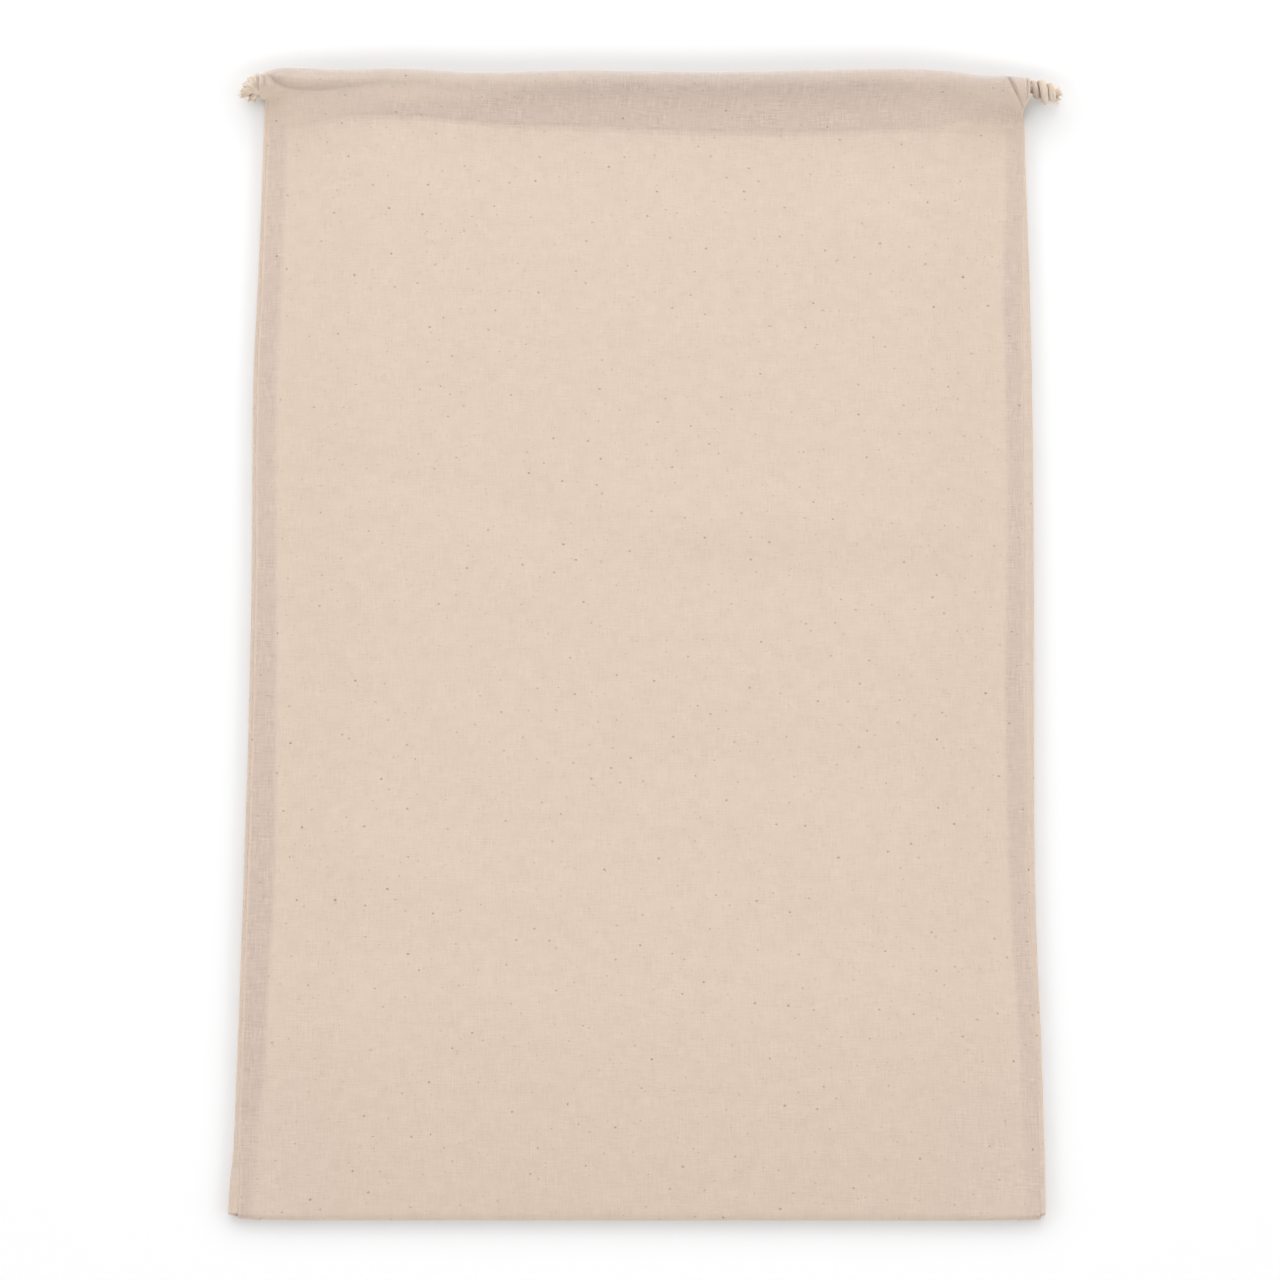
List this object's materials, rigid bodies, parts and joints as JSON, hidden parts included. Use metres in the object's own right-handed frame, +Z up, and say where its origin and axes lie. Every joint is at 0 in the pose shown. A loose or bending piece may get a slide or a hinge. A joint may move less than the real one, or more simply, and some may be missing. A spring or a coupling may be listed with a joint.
{
  "type": "drawstring bag",
  "caption": "Flat unbleached cotton bag with a cord casing along its mouth and drawcords knotted at both sides, lying empty on its back.",
  "frame": {"origin": "on the surface that the bag lies on, under the middle of the bag, halfway from its bottom fold to its mouth", "axes": "+X to the right across the bag, +Y from the bottom fold towards the mouth, +Z up, out of the bag's front"},
  "size_m": [0.546, 0.7513, 0.0232],
  "materials": {
    "cotton_cloth": "unbleached plain-weave cotton with small seed flecks, matt",
    "cotton_cord": "twisted natural cotton cord, matt, frayed at its cut ends"
  },
  "bodies": {
    "root": {"bag_cloth": "cotton_cloth", "drawcord_left": "cotton_cord", "drawcord_right": "cotton_cord", "knot_left": "cotton_cord", "knot_right": "cotton_cord"}
  },
  "joints": []
}
